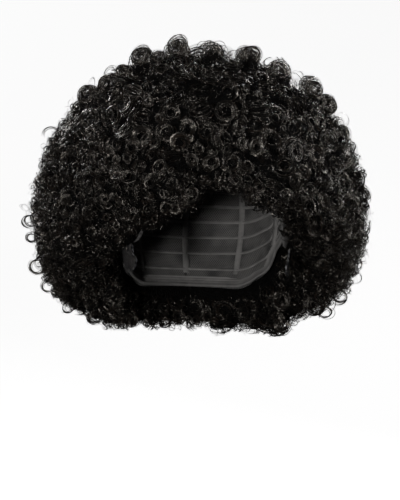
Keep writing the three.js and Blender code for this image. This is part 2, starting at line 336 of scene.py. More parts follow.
def mass_material():
    nodes = Nodes("curl_mass")
    place = nodes.add("ShaderNodeTexCoord").outputs["Object"]
    cells = nodes.add("ShaderNodeTexVoronoi", {"Vector": place, "Scale": 150.0}, feature="F1")
    curls = nodes.wave(cells.outputs["Distance"], 26.0)
    frizz = nodes.noise(place, 900.0, 3.0)
    height = nodes.math("ADD", curls, nodes.math("MULTIPLY", frizz, 1.6))
    return nodes.finish({
        "Base Color": nodes.ramp(frizz, ((0.35, (0.001, 0.001, 0.001)), (0.7, HAIR_DARK))),
        "Roughness": nodes.spread(frizz, 0.45, 0.7),
        "Normal": nodes.bump(height, 0.8, 0.0008),
        "Specular IOR Level": 0.015,
    })


# Knobs of curls along the top of the outline

# How far each is across the camera's view from the crown, how high its top is, its radius, in mm,
# and the hollow share of that radius
RIDGE_CURLS = table(
    ("across", "top", "radius", "hollow"),
    (-110, 22, 9.0, 0.45),
    (-91, 33, 8.5, 0.6),
    (-79, 42, 6.5, 0.6),
    (-63, 61, 9.5, 0.55),
    (-46, 57, 7.0, 0.4),
    (-30, 70, 10.0, 0.5),
    (2, 67.5, 11.0, 0.1),
    (34, 62.5, 9.5, 0.1),
    (64, 51, 10.5, 0.3),
    (95, 44, 8.0, 0.5),
    (109, 27, 6.5, 0.7),
    (126, -7, 6.0, 0.7),
)
# They stand in three rows: how far each row is behind the crown and how much lower its knobs
# are, in mm, and whether their rings turn to the front or to the back
RIDGE_ROWS = table(
    ("away", "lower", "turned"),
    (10, 0, 1),
    (-26, 3, 1),
    (44, 3, -1),
)
RIDGE_KNOBS = tuple((curl, row) for row in RIDGE_ROWS for curl in RIDGE_CURLS)
RIDGE_KIND = {"low": 8.0, "strands": 19, "turns": 2.3, "steps": 34, "width": 0.66}
RIDGE_LOWERED = 7 * MM  # how far the hair between the knobs lies below the CAD form
RIDGE_FADE = 20 * MM  # and at this far below the ridge it is back on the form
RIDGE_REACH = 160  # the ridge is measured this far to each side of the crown, in mm
RIDGE_STEP = 5  # at steps of this many mm
RIDGE_LOWEST = -20 * MM  # knobs stand on the form only above this height
RIDGE_UPWARD = 0.1  # and where its normal points up by more than this
RIDGE_SHORTEST, RIDGE_TALLEST = 2 * MM, 17 * MM  # how far a knob's top stands off the form
RIDGE_CORE = 4 * MM  # the tallest dark core inside a knob
RIDGE_LEAN = 1.3  # how far a knob's rings lean over to the front or the back
RIDGE_FORWARD = 0.5  # how far they stand out that way, in radii
RIDGE_CENTRE = 0.85  # how far their centre is below the knob's top, in radii
RIDGE_CALM = 0.6  # a knob's random lean and oval, as a share of those of other curls
RIDGE_WAVER = 3  # how many times more than theirs its strands waver
RIDGE_FRAY = 0.3  # how far the axes of a knob's strands differ
VIEW_TURN = math.radians(CAMERA_AZIMUTH)
VIEW_RIGHT = np.array([math.cos(VIEW_TURN), math.sin(VIEW_TURN)])
VIEW_AWAY = np.array([-math.sin(VIEW_TURN), math.cos(VIEW_TURN)])


# The form that the hair fills, from the CAD sections of hair

FORM_VOXEL = 3.6 * MM
MASS_DEPTH = 8 * MM  # how far the dark mass lies below the hair's outer form
MASS_UNEVEN, MASS_PITCH = 2.2 * MM, 11 * MM  # the height and pitch of its unevenness
CORE_FROM = 2.5 * MM  # a curl that stands out further than this has a core
CORE_BELOW = 5 * MM  # how far the core stays below the curl's tip
CAP_NEAR = 4 * MM  # this near to the cap the mass is on the form
CAP_FAR = 14 * MM  # and this far from it at its full depth
LUMP_WAVES = 12


def remeshed(vertices, faces, voxel):
    mesh = bpy.data.meshes.new("rough")
    mesh.from_pydata(vertices, [], faces)
    rough = new_object("rough", mesh)
    modifier = rough.modifiers.new("voxels", "REMESH")
    modifier.mode = "VOXEL"
    modifier.voxel_size = voxel
    modifier.use_smooth_shade = True
    evaluated = rough.evaluated_get(bpy.context.evaluated_depsgraph_get())
    made = bpy.data.meshes.new_from_object(evaluated)
    bpy.data.objects.remove(rough)
    return made


def quads_of(mesh):
    corners = np.empty(len(mesh.loops), np.int32)
    mesh.loops.foreach_get("vertex_index", corners)
    return corners.reshape(-1, 4)


def spread_over(values, quads, rounds):
    """Each vertex's value becomes the mean over the quads round it, again and again"""
    count = len(values)
    uses = np.bincount(quads.ravel(), minlength=count)[:, None]
    for _ in range(rounds):
        centres = values[quads].mean(axis=1)
        total = np.zeros_like(values)
        for corner in range(4):
            for axis in range(values.shape[1]):
                total[:, axis] += np.bincount(quads[:, corner], centres[:, axis], count)
        values = total / np.maximum(uses, 1)
    return values


def depth_below_ridge(co):
    """How far each place lies below the top of the outline that the camera sees over it"""
    across = co[:, :2] @ VIEW_RIGHT
    columns = np.arange(-RIDGE_REACH, RIDGE_REACH + 1, RIDGE_STEP) * MM
    near = [np.abs(across - column) < RIDGE_STEP * MM for column in columns]
    highest = np.array([co[here, 2].max(initial=-1.0) for here in near])
    return np.interp(across, columns, highest) - co[:, 2]


form = remeshed(*joined_mesh(HAIR_NODES), FORM_VOXEL)
form_quads = quads_of(form)
form_co, form_normal = mesh_arrays(form)
form_co = spread_over(form_co, form_quads, 1)
form_normal = unit(spread_over(form_normal, form_quads, 4))
below_ridge = depth_below_ridge(form_co)
form_co -= form_normal * (RIDGE_LOWERED * (1 - np.clip(below_ridge / RIDGE_FADE, 0, 1)) ** 2)[:, None]

cap_tree = surface_tree(CAP_NODES)
cap_distance = np.array([cap_tree.find_nearest(Vector(p))[3] for p in form_co])

node_trees = {name: surface_tree((name,)) for name in HAIR_NODES}


def nearest_node(point):
    place = Vector(point)
    return min(HAIR_NODES, key=lambda name: node_trees[name].find_nearest(place)[3])


def lumps(co, pitch, seed):
    """Smooth unevenness between -1 and 1, the sum of a few waves in random directions"""
    waves = np.random.default_rng(seed)
    total = np.zeros(len(co))
    for _ in range(LUMP_WAVES):
        direction = unit(waves.normal(size=3)[None])[0]
        length = pitch * waves.uniform(0.7, 1.4)
        total += np.sin(co @ direction * TAU / length + waves.uniform(0, TAU))
    return total / 4


def add_mass(places, stands):
    """The dark mass, which rises into each curl that stands out"""
    free = smooth((cap_distance - CAP_NEAR) / (CAP_FAR - CAP_NEAR))
    depth = MASS_DEPTH + MASS_UNEVEN * lumps(form_co, MASS_PITCH, 3)
    tree = KDTree(len(form_co))
    for index, point in enumerate(form_co):
        tree.insert(point, index)
    tree.balance()
    for number, ((vertex, radius, _), stand) in enumerate(zip(places, stands)):
        if stand < CORE_FROM:
            continue
        charted = number < len(RIDGE_KNOBS)
        for _, index, distance in tree.find_range(form_co[vertex], radius):
            if charted:
                dome = math.sqrt(1 - (distance / radius) ** 2)
                solid = 1 - RIDGE_KNOBS[number][0]["hollow"]
                core = min(max(stand - 0.95 * radius, 0), RIDGE_CORE) * dome * solid
                inside = dome
            else:
                inside = smooth((radius - distance) / (0.45 * radius))
                core = (stand - CORE_BELOW) * inside
            depth[index] = min(depth[index], MASS_DEPTH * (1 - inside) - core)
    co = form_co - form_normal * (free * depth)[:, None]
    new_piece("hair_mass", new_mesh("hair_mass", co, form_quads), mass_material(), HAIR_NODES)


# Curls

# Each kind's radius range and strand width, in mm, how its strands run, and the share of places
# that are tried for it
KINDS = table(
    ("low", "high", "strands", "turns", "steps", "width", "share"),
    (10.0, 13.5, 10, 2.3, 40, 0.80, 0.35),
    (7.5, 10.0, 9, 2.3, 34, 0.78, 0.45),
    (5.0, 7.5, 7, 2.2, 27, 0.72, 0.6),
    (3.8, 5.0, 4, 2.0, 20, 0.74, 0.9),
    (2.6, 3.8, 3, 1.8, 14, 0.66, 1.0),
)
PACKING = 0.86  # how close neighbours stand, as a share of the sum of their radii
PACKING_CELL = 12.0 * MM
NEAR_CELLS = tuple(itertools.product((-2, -1, 0, 1, 2), repeat=3))

# Stray loops at the sides of the outline: to the wearer's left of the crown and up, and the
# loop's radius, in mm, with its number of hairs
STRAY_LOOPS = table(
    ("across", "up", "radius", "hairs"),
    (-150, -104, 6.5, 5),
    (-149, -117, 5.5, 4),
    (-144, -143, 7.5, 5),
    (-135, -161, 6.0, 4),
    (-117, -176, 6.5, 5),
    (-98, -194, 6.0, 5),
    (151, -68, 6.5, 7),
    (152, -98, 8.0, 3),
    (144, -132, 7.0, 3),
    (126, -156, 6.5, 5),
    (114, -170, 6.0, 4),
    (77, -189, 6.5, 5),
)
STAND_SIDE = 4.5  # the furthest that a curl's tip stands off the form at the sides, in mm
STAND_TOP = 10.0  # and on top
LEAN_LARGE = 0.36  # how far large and small curls lean from upright, at random
LEAN_SMALL = 0.42
LARGE_OVER = 5  # kinds of a larger radius than this, in mm, lean as large curls do
CURL_HOLLOW = 0.44  # the hollow share of a curl's radius
STRAND_FRAY = 0.05  # how far the axes of one curl's strands differ
STRAY_DEPTH = 25 * MM  # how far behind the crown the stray loops are
STRAY_WIDTH = 0.55 * MM
STRAY_STEPS = 34
ROOTS_CLEAR = 6 * MM  # no curl starts this near to the cap
LOOSE_CLEAR = 13 * MM  # and no loose hair


def largest_radius(co):
    """The largest curl in mm at each place: big on top, tight at the wearer's right and fringe"""
    top = smooth((co[:, 2] + 0.075) / 0.09)
    left = smooth((co[:, 0] + 0.02) / 0.08)
    back = smooth(co[:, 1] / 0.08)
    low = 5.2 + 3.6 * left + 2.5 * back
    base = low + (12.5 - low) * top
    return np.clip(base + 1.2 * lumps(co, 60 * MM, 5), 3.0, 12.5)


def choose_places():
    """Disc packing over the form, the largest curls first"""
    open_hair = np.flatnonzero(cap_distance > ROOTS_CLEAR)
    limit = np.minimum(largest_radius(form_co), (cap_distance - 3 * MM) / MM)
    chosen = []
    grid = {}

    def cell_of(point):
        return tuple(np.floor(point / PACKING_CELL).astype(int))

    def crowded(point, radius):
        home = cell_of(point)
        for step in NEAR_CELLS:
            key = (home[0] + step[0], home[1] + step[1], home[2] + step[2])
            for other, its_radius in grid.get(key, ()):
                reach = (radius + its_radius) * PACKING
                if ((point - other) ** 2).sum() < reach * reach:
                    return True
        return False

    def keep_curl(vertex, radius, kind_index):
        point = form_co[vertex]
        grid.setdefault(cell_of(point), []).append((point, radius * MM))
        chosen.append((vertex, radius * MM, kind_index))

    outer = (form_co[:, 2] > RIDGE_LOWEST) & (form_normal[:, 2] > RIDGE_UPWARD)
    for curl, row in RIDGE_KNOBS:
        flat = (VIEW_RIGHT * curl["across"] + VIEW_AWAY * row["away"]) * MM
        away = np.linalg.norm(form_co[:, :2] - flat, axis=1) + ~outer
        keep_curl(int(away.argmin()), curl["radius"], len(KINDS))

    for kind_index, kind in enumerate(KINDS):
        order = rng.permutation(open_hair)
        keep = rng.random(len(order)) < kind["share"]
        radii = rng.uniform(kind["low"], kind["high"], len(order))
        for vertex, kept, radius in zip(order, keep, radii):
            if not kept or radius > limit[vertex] * 1.05:
                continue
            if not crowded(form_co[vertex], radius * MM):
                keep_curl(vertex, radius, kind_index)
    return chosen


# What a strand has where its params don't say
STRAND_DEFAULTS = {"waver": 0.0, "stand": 0.0, "drift": 0.0}


def ribbons(base, side, other, axis, params, steps):
    """Curled ribbons of hair, shaded as round strands. base (s, 3) is each strand's tip centre,
    side, other and axis its frame, and params its shape. Gives corners (s, steps, 2, 3), normals
    alike and lengths (s, steps)."""
    t = np.linspace(0, 1, steps)[None, :]
    column = STRAND_DEFAULTS | {key: value[:, None] for key, value in params.items()}
    angle = column["phase"] + column["hand"] * TAU * column["turns"] * t
    swell = 1 - column["root_in"] * (1 - smooth(t / 0.35)) - column["tip_in"] * smooth((t - 0.6) / 0.4)
    waver = 1 + column["waver"] * np.sin(angle * 0.61 + column["phase"] * 3)
    out = column["radius"] * swell * waver
    height = -column["depth"] * (1 - t) + column["stand"]
    drift = column["drift"] * (1 - t) ** 2
    cos, sin = np.cos(angle), np.sin(angle)
    place = (
        base[:, None]
        + (out * cos + drift)[..., None] * side[:, None]
        + (out * column["oval"] * sin)[..., None] * other[:, None]
        + height[..., None] * axis[:, None]
    )
    tangent = unit(np.gradient(place, axis=1))
    radial = cos[..., None] * side[:, None] + sin[..., None] * other[:, None]
    tilt = column["tilt"][..., None]
    across = np.cos(tilt) * radial + np.sin(tilt) * axis[:, None]
    across = unit(across - (across * tangent).sum(-1, keepdims=True) * tangent)
    facing = np.cross(tangent, across)
    taper = np.minimum(1, np.minimum(t / 0.1 + 0.35, (1 - t) / 0.16 + 0.12))
    half = (column["width"] * taper / 2)[..., None] * across
    co = np.stack((place - half, place + half), axis=2)
    normals = np.stack((unit(facing - across), unit(facing + across)), axis=2)
    steps_length = np.linalg.norm(np.diff(place, axis=1), axis=-1)
    length = np.concatenate((np.zeros((len(base), 1)), np.cumsum(steps_length, axis=1)), axis=1)
    return co, normals, length


def ribbon_quads(count, steps):
    first = (np.arange(count)[:, None] * steps + np.arange(steps - 1)[None, :]).ravel() * 2
    return np.stack((first, first + 2, first + 3, first + 1), axis=1)


def frames(axis):
    """Two directions square to each axis and to each other"""
    helper = np.where(np.abs(axis[:, 2:3]) < 0.9, [[0.0, 0.0, 1.0]], [[1.0, 0.0, 0.0]])
    side = unit(np.cross(helper, axis))
    return side, np.cross(axis, side)


def spun(side, other, spin):
    """These two directions, turned in their own plane"""
    return np.cos(spin) * side + np.sin(spin) * other, -np.sin(spin) * side + np.cos(spin) * other


def stands_of(places):
    """How far each curl's tip stands off the form. Tufts of neighbours stand out together, and
    single large curls on top stand out further."""
    vertices = [vertex for vertex, _, _ in places]
    co = form_co[vertices]
    size = np.array([radius for _, radius, _ in places])
    tuft = lumps(co, 34 * MM, 11)
    high = smooth((co[:, 2] + 0.03) / 0.07)
    low_right = smooth((-0.06 - co[:, 0]) / 0.05) * smooth((-0.13 - co[:, 2]) / 0.04)
    single = rng.uniform(-3.5, 1.5, len(places)) * MM
    under = smooth((below_ridge[vertices] - 8 * MM) / (12 * MM))
    knob = (size > 6 * MM) & (rng.random(len(places)) < 0.15 + 0.35 * high)
    stands = single + (tuft * (1.0 + 1.5 * high) - 4.0 * high) * MM + low_right * 5 * MM
    further = rng.uniform(4.0, 9.5, len(places)) * MM * (0.4 + 0.6 * high) * (1 - high * (1 - under))
    stands += np.where(knob, further, 0)
    stands = np.minimum(stands, (STAND_SIDE + (STAND_TOP - STAND_SIDE) * high) * MM)
    tops = np.array([curl["top"] - row["lower"] for curl, row in RIDGE_KNOBS]) * MM
    stands[:len(tops)] = np.clip(tops - co[:len(tops), 2], RIDGE_SHORTEST, RIDGE_TALLEST)
    return stands


def ridge_strands(places, stands, rows):
    """The charted knobs: rings that are turned to the front or the back, as ribbon arrays"""
    turned = np.array([RIDGE_KNOBS[row][1]["turned"] for row in rows])
    lean = np.zeros((len(places), 3))
    lean[:, :2] = -RIDGE_LEAN * turned[:, None] * VIEW_AWAY
    radius = np.array([radius for _, radius, _ in places])
    lift = np.zeros((len(places), 3))
    lift[:, :2] = -RIDGE_FORWARD * (radius * turned)[:, None] * VIEW_AWAY
    lift[:, 2] = stands - RIDGE_CENTRE * radius
    hollow = np.repeat([RIDGE_KNOBS[row][0]["hollow"] for row in rows], RIDGE_KIND["strands"])
    return curl_strands(places, np.zeros(len(places)), RIDGE_KIND, lean, lift, hollow)


def curl_strands(places, stands, kind, turned=None, lift=None, hollow=CURL_HOLLOW):
    """All strands of the curls of one kind, as ribbon arrays. Charted knobs are turned and lifted."""
    count = kind["strands"]
    curls = len(places)
    strands = curls * count

    def per_curl(low, high):
        return np.repeat(rng.uniform(low, high, curls), count)

    def per_strand(low, high):
        return rng.uniform(low, high, strands)

    charted = turned is not None
    calm, waver, fray = (RIDGE_CALM, RIDGE_WAVER, RIDGE_FRAY) if charted else (1.0, 1, STRAND_FRAY)
    vertex = np.repeat([vertex for vertex, _, _ in places], count)
    size = np.repeat([radius for _, radius, _ in places], count)
    normal = form_normal[vertex]
    scatter = LEAN_LARGE if kind["low"] > LARGE_OVER else LEAN_SMALL
    lean = rng.normal(0, scatter * calm, (curls, 3))
    if charted:
        lean = lean + turned
    droop = per_curl(0.0, 0.35)
    axis = normal + np.repeat(lean, count, axis=0) + rng.normal(0, fray, (strands, 3))
    axis[:, 2] -= droop * (1 - np.abs(normal[:, 2]))
    axis = unit(axis)
    side, other = spun(*frames(axis), per_curl(0, TAU)[:, None])
    layer = (np.tile(np.arange(count), curls) + per_strand(0.1, 0.9)) / count
    params = {
        "radius": size * (hollow + (1.04 - hollow) * layer ** 0.75),
        "phase": per_curl(0, TAU) + per_strand(-2.2, 2.2),
        "hand": np.repeat(np.where(rng.random(curls) < 0.5, -1.0, 1.0), count),
        "turns": kind["turns"] * per_strand(0.85, 1.1),
        "root_in": per_curl(0.0, 0.2) + per_strand(0, 0.05),
        "tip_in": per_curl(0.0, 0.25 * calm) + per_strand(0, 0.06),
        "waver": per_strand(0, 0.035) * waver,
        "depth": per_curl(0.9, 1.5) * size * per_strand(0.85, 1.15) + 3 * MM,
        "stand": np.repeat(stands, count) + per_strand(-1.4, 1.0) * MM,
        "drift": rng.normal(0, 0.06, strands) * size,
        "oval": 0.91 + calm * per_curl(-0.19, 0.19),
        "tilt": rng.choice([-0.6, 0.6, 0.2, -0.2], strands) + rng.normal(0, 0.15, strands),
        "width": kind["width"] * MM * per_strand(0.6, 1.2),
    }
    base = form_co[vertex]
    if lift is not None:
        base = base + np.repeat(lift, count, axis=0)
    return ribbons(base, side, other, axis, params, kind["steps"])


# Each strand's part of its cell on the map that the looks are kept on, and how the map that runs
# along the strands starts at random and is measured
CELL_START, CELL_LENGTH = 0.06, 0.88
CELL_SIDE, CELL_WIDTH = 0.12, 0.76
MAP_STARTS = 900
MAP_UNIT = 10 * MM


def strand_piece(name, batches, material, nodes):
    """One mesh of many strands, each with its own cell of the map that the looks are kept on"""
    total = sum(len(co) for co, _, _ in batches)
    cells = math.ceil(math.sqrt(total))
    corners, normals, quads, cell_maps, strand_maps = [], [], [], [], []
    first_strand, first_corner = 0, 0
    for co, normal, length in batches:
        count, steps = co.shape[:2]
        number = np.arange(first_strand, first_strand + count)
        along = np.broadcast_to(np.linspace(0, 1, steps), (count, steps))
        cell = np.empty((count, steps, 2, 2))
        natural = np.empty((count, steps, 2, 2))
        start = np.random.default_rng(first_strand).uniform(0, MAP_STARTS, count)
        for edge in (0, 1):
            cell[:, :, edge, 0] = ((number % cells)[:, None] + CELL_START + CELL_LENGTH * along) / cells
            cell[:, :, edge, 1] = ((number // cells)[:, None] + CELL_SIDE + CELL_WIDTH * edge) / cells
            natural[:, :, edge, 0] = start[:, None] + length / MAP_UNIT
            natural[:, :, edge, 1] = edge
        corners.append(co.reshape(-1, 3))
        normals.append(normal.reshape(-1, 3))
        cell_maps.append(cell.reshape(-1, 2))
        strand_maps.append(natural.reshape(-1, 2))
        quads.append(ribbon_quads(count, steps) + first_corner)
        first_strand += count
        first_corner += count * steps * 2
    maps = {"OFBake": np.concatenate(cell_maps), "strand": np.concatenate(strand_maps)}
    mesh = new_mesh(name, np.concatenate(corners), np.concatenate(quads), np.concatenate(normals), maps)
    return new_piece(name, mesh, material, nodes)


def add_curls(chosen, stands):
    material = strand_material("curl_strands")
    home = [nearest_node(form_co[vertex]) for vertex, _, _ in chosen]
    for node in HAIR_NODES:
        batches = []
        for index, kind in enumerate(KINDS):
            here = [i for i, (c, n) in enumerate(zip(chosen, home)) if c[2] == index and n == node]
            if here:
                batches.append(curl_strands([chosen[i] for i in here], stands[here], kind))
        here = [i for i in range(len(RIDGE_KNOBS)) if home[i] == node]
        if here:
            batches.append(ridge_strands([chosen[i] for i in here], stands[here], here))
        strand_piece(node.replace("hair", "curls"), batches, material, (node,))


# Short curled ends that fill the hair between the curls, frizz that stands off it, and loose
# loops of a few hairs. Radii, widths, and how deep and high they start are in mm.
FILLER = {"count": 6500, "steps": 8, "low": 1.6, "high": 3.8, "width": 0.54, "from": -5.5, "to": 1.2}
FRIZZ = {"count": 2000, "steps": 8, "low": 1.5, "high": 4.5, "width": 0.24, "from": -1.5, "to": 4.0}
LOOSE = {"count": 460, "steps": 20, "low": 2.5, "high": 8.0, "width": 0.42, "hairs": 3}


def random_frames(normal, lean):
    axis = unit(normal + rng.normal(0, lean, normal.shape))
    side, other = spun(*frames(axis), rng.uniform(0, TAU, len(axis))[:, None])
    return side, other, axis


def bundled(hairs, scatter, base, *directions):
    """Places and directions of strands, repeated for their hairs, with the places scattered"""
    base = np.repeat(base, hairs, axis=0)
    base = base + rng.normal(0, scatter, base.shape)
    return [base, *(np.repeat(rows, hairs, axis=0) for rows in directions)]


def short_strands(vertex, kind):
    count = len(vertex)
    side, other, axis = random_frames(form_normal[vertex], 1.2)
    out = rng.uniform(kind["from"], kind["to"], count) * MM
    base = form_co[vertex] + form_normal[vertex] * out[:, None]
    params = {
        "radius": rng.uniform(kind["low"], kind["high"], count) * MM,
        "phase": rng.uniform(0, TAU, count),
        "hand": rng.choice([-1.0, 1.0], count),
        "turns": rng.uniform(0.5, 1.3, count),
        "root_in": rng.uniform(-0.2, 0.3, count),
        "tip_in": rng.uniform(-0.2, 0.4, count),
        "depth": rng.uniform(1, 4, count) * MM,
        "oval": rng.uniform(0.6, 1.2, count),
        "tilt": rng.uniform(-1.2, 1.2, count),
        "width": kind["width"] * MM * rng.uniform(0.6, 1.4, count),
    }
    return ribbons(base, side, other, axis, params, kind["steps"])


def loose_strands(vertex):
    """Loops of a few fine hairs each"""
    count = len(vertex)
    hairs = LOOSE["hairs"]
    side, other, axis = random_frames(form_normal[vertex], 0.9)
    size = rng.uniform(LOOSE["low"], LOOSE["high"], count) * MM
    out = rng.uniform(-1.0, 1.0, count) * MM + size * rng.uniform(0.1, 0.5, count)
    base = form_co[vertex] + form_normal[vertex] * out[:, None]
    params = {
        "radius": size,
        "phase": rng.uniform(0, TAU, count),
        "hand": rng.choice([-1.0, 1.0], count),
        "turns": rng.uniform(0.8, 1.5, count),
        "root_in": rng.uniform(0, 0.3, count),
        "tip_in": rng.uniform(0, 0.5, count),
        "waver": rng.uniform(0, 0.1, count),
        "depth": rng.uniform(0.3, 1.0, count) * size,
        "oval": rng.uniform(0.55, 1.1, count),
        "tilt": rng.uniform(-1.2, 1.2, count),
        "width": LOOSE["width"] * MM * (0.7 + 1.3 * rng.random(count) ** 3),
    }
    params = {key: np.repeat(value, hairs) for key, value in params.items()}
    total = count * hairs
    params["radius"] = params["radius"] * rng.uniform(0.85, 1.1, total)
    params["phase"] = params["phase"] + rng.normal(0, 0.35, total)
    return ribbons(*bundled(hairs, 0.4 * MM, base, side, other, axis), params, LOOSE["steps"])


def stray_strands():
    """The charted loops: hairs that run round nearly the same circle, seen from the front"""
    hairs = [curl["hairs"] for curl in STRAY_LOOPS]
    wanted = np.array([(curl["across"] * MM, STRAY_DEPTH, curl["up"] * MM) for curl in STRAY_LOOPS])
    nearest = np.array([np.linalg.norm(form_co - point, axis=1).argmin() for point in wanted])
    size = np.array([curl["radius"] for curl in STRAY_LOOPS]) * MM
    centre = form_co[nearest] + form_normal[nearest] * (size * 0.45)[:, None]
    axis = unit(np.array([[0.1, -1.0, 0.15]]) + rng.normal(0, 0.25, centre.shape))
    side, other = frames(axis)
    loops = bundled(hairs, 0.5 * MM, centre, side, other, axis)
    count = sum(hairs)
    params = {
        "radius": np.repeat(size, hairs) * rng.uniform(0.8, 1.08, count),
        "phase": np.repeat(rng.uniform(0, TAU, len(size)), hairs) + rng.normal(0, 0.5, count),
        "hand": np.repeat(rng.choice([-1.0, 1.0], len(size)), hairs),
        "turns": rng.uniform(1.3, 1.9, count),
        "root_in": rng.uniform(-0.3, 0.1, count),
        "tip_in": rng.uniform(0.0, 0.4, count),
        "waver": rng.uniform(0, 0.08, count),
        "depth": rng.uniform(0.6, 1.2, count) * np.repeat(size, hairs),
        "stand": np.repeat(size, hairs) * 0.4,
        "oval": np.repeat(rng.uniform(0.65, 1.0, len(size)), hairs),
        "tilt": rng.uniform(-0.6, 0.6, count),
        "width": STRAY_WIDTH * rng.uniform(0.7, 1.2, count),
    }
    return ribbons(*loops, params, STRAY_STEPS)


def add_short_strands():
    open_hair = np.flatnonzero(cap_distance > ROOTS_CLEAR)
    material = strand_material("fine_strands")
    sides = 1.25 - smooth((form_co[open_hair, 2] + 0.09) / 0.06)
    picked = rng.choice(open_hair, FILLER["count"], replace=False, p=sides / sides.sum())
    filler = short_strands(picked, FILLER)
    strand_piece("curls_filler", [filler], material, HAIR_NODES)
    outer = np.flatnonzero((cap_distance > LOOSE_CLEAR) & (form_normal[:, 2] > -0.75))
    frizz = short_strands(rng.choice(outer, FRIZZ["count"], replace=False), FRIZZ)
    loose = loose_strands(rng.choice(outer, LOOSE["count"], replace=False))
    strand_piece("curls_loose", [frizz, loose, stray_strands()], material, HAIR_NODES)


# The cap's lining. Places on it are given by azimuth from the forehead and by polar angle from
# the crown, both seen from a point in the middle of the head.

CAP_CENTRE = Vector((0, 0.005, -0.07))
RAY_NUDGES = (0.0, -0.012, 0.012, -0.03)  # a ray that slips between two pieces is tried again
NET_AROUND = 144
NET_ROWS = 44
NET_FIRST, NET_LAST = 0.02, 1.05  # the net's first and last row, as shares of the way to the band
NET_GIRTH = 0.54  # the length round the net, in metres, that its weave is measured by
NET_THICKNESS = 1.0 * MM
WEFTS = 16
WEFT = {"half": 1.5 * MM, "shoulder": 0.8, "edge": 0.6 * MM, "top": 0.95 * MM}
TAPE = {"half": 3.2 * MM, "shoulder": 0.9, "edge": 1.1 * MM, "top": 1.25 * MM}
TAPE_AZIMUTHS = (0, 38, 76, 112, 146, 180, -146, -112, -76, -38)
TAPE_STEPS = 40
TAPE_SUNK = 0.2 * MM  # how deep the edges of wefts and tapes lie in the net
ELASTIC_AROUND = 216
ELASTIC_HALF = 8.4 * MM
ELASTIC_RIBS = 5


def edge_angles():
    """The azimuths of the band's columns, and the polar angles of its upper and lower edge there"""
    vertices, _ = joined_mesh(("cap_band",))
    co = np.unique(np.round(np.array(vertices), 6), axis=0) - np.array(CAP_CENTRE)
    azimuth = np.arctan2(co[:, 0], -co[:, 1])
    polar = np.arccos(co[:, 2] / np.linalg.norm(co, axis=1))
    order = np.argsort(azimuth)
    corners = len(order) // 4
    azimuth = azimuth[order].reshape(corners, 4).mean(axis=1)
    polar = np.sort(polar[order].reshape(corners, 4), axis=1)
    return azimuth, polar[:, :2].mean(axis=1), polar[:, 2:].mean(axis=1)


edge_azimuth, upper_edge, lower_edge = edge_angles()


def cap_points(azimuth, polar):
    """Places on the cap's inner face, and the directions from there into the head"""
    away = np.stack((
        np.sin(polar) * np.sin(azimuth),
        -np.sin(polar) * np.cos(azimuth),
        np.cos(polar),
    ), axis=-1)
    places = np.empty_like(away)
    for index in np.ndindex(azimuth.shape):
        for nudge in RAY_NUDGES:
            wanted = away[index]
            ray = Vector(wanted) + Vector((0, 0, nudge))
            hit = cap_tree.ray_cast(CAP_CENTRE, ray.normalized())[0]
            if hit is not None:
                break
        distance = (hit - CAP_CENTRE).length
        places[index] = np.array(CAP_CENTRE) + wanted * distance
    return places, -away


def smoothed_loop(line, rounds):
    for _ in range(rounds):
        line = (np.roll(line, 1, axis=0) + 2 * line + np.roll(line, -1, axis=0)) / 4
    return line


def upper_at(azimuth):
    return np.interp(azimuth, edge_azimuth, upper_edge, period=TAU)


def lower_at(azimuth):
    return np.interp(azimuth, edge_azimuth, lower_edge, period=TAU)


def grid_quads(rows, columns):
    first = (np.arange(rows - 1)[:, None] * columns + np.arange(columns - 1)[None, :]).ravel()
    return np.stack((first, first + 1, first + columns + 1, first + columns), axis=1)


def sweep(places, inward, profile, closed):
    """A strip with this profile, of (across, inward) pairs, along a line of places on the cap"""
    if closed:
        after, before = np.roll(places, -1, axis=0), np.roll(places, 1, axis=0)
        along = unit(after - before)
    else:
        along = unit(np.gradient(places, axis=0))
    across = unit(np.cross(inward, along))
    facing = unit(np.cross(along, across))
    profile = np.array(profile)
    co = (
        places[:, None]
        + across[:, None] * profile[None, :, :1]
        + facing[:, None] * profile[None, :, 1:]
    )
    steps = np.linalg.norm(np.roll(places, -1, axis=0) - places, axis=1)
    if closed:
        co = np.concatenate((co, co[:1]))
    else:
        steps = steps[:-1]
    length = np.concatenate(([0], np.cumsum(steps)))
    rim = np.concatenate(([0], np.cumsum(np.linalg.norm(np.diff(profile, axis=0), axis=1))))
    maps = np.stack(np.meshgrid(length, rim, indexing="ij"), axis=-1)
    return co.reshape(-1, 3), grid_quads(len(co), len(profile)), maps.reshape(-1, 2)


def joined_strips(strips):
    corners, quads, maps, first = [], [], [], 0
    for co, faces, uv in strips:
        corners.append(co)
        quads.append(faces + first)
        maps.append(uv)
        first += len(co)
    return np.concatenate(corners), np.concatenate(quads), np.concatenate(maps)


def knit_material(name, low, high, pitch, strength):
    """A stretch net: two sets of slanting threads"""
    nodes = Nodes(name)
    place = nodes.add("ShaderNodeUVMap", uv_map="weave").outputs["UV"]
    parts = nodes.add("ShaderNodeSeparateXYZ", {"Vector": place})
    turn = TAU / (pitch * MM)
    climb = nodes.math("ADD", parts.outputs["X"], parts.outputs["Y"])
    fall = nodes.math("SUBTRACT", parts.outputs["X"], parts.outputs["Y"])
    one = nodes.math("ABSOLUTE", nodes.wave(climb, turn / 2))
    two = nodes.math("ABSOLUTE", nodes.wave(fall, turn / 2))
    threads = nodes.math("MAXIMUM", one, two)
    uneven = nodes.noise(nodes.add("ShaderNodeTexCoord").outputs["Object"], 60.0, 3.0)
    shade = nodes.math("MULTIPLY", threads, nodes.spread(uneven, 0.75, 1.1))
    return nodes.finish({
        "Base Color": nodes.ramp(shade, ((0.62, low), (0.95, high))),
        "Roughness": nodes.spread(uneven, 0.7, 0.9),
        "Normal": nodes.bump(threads, strength, 0.0006),
        "Specular IOR Level": 0.3,
    })


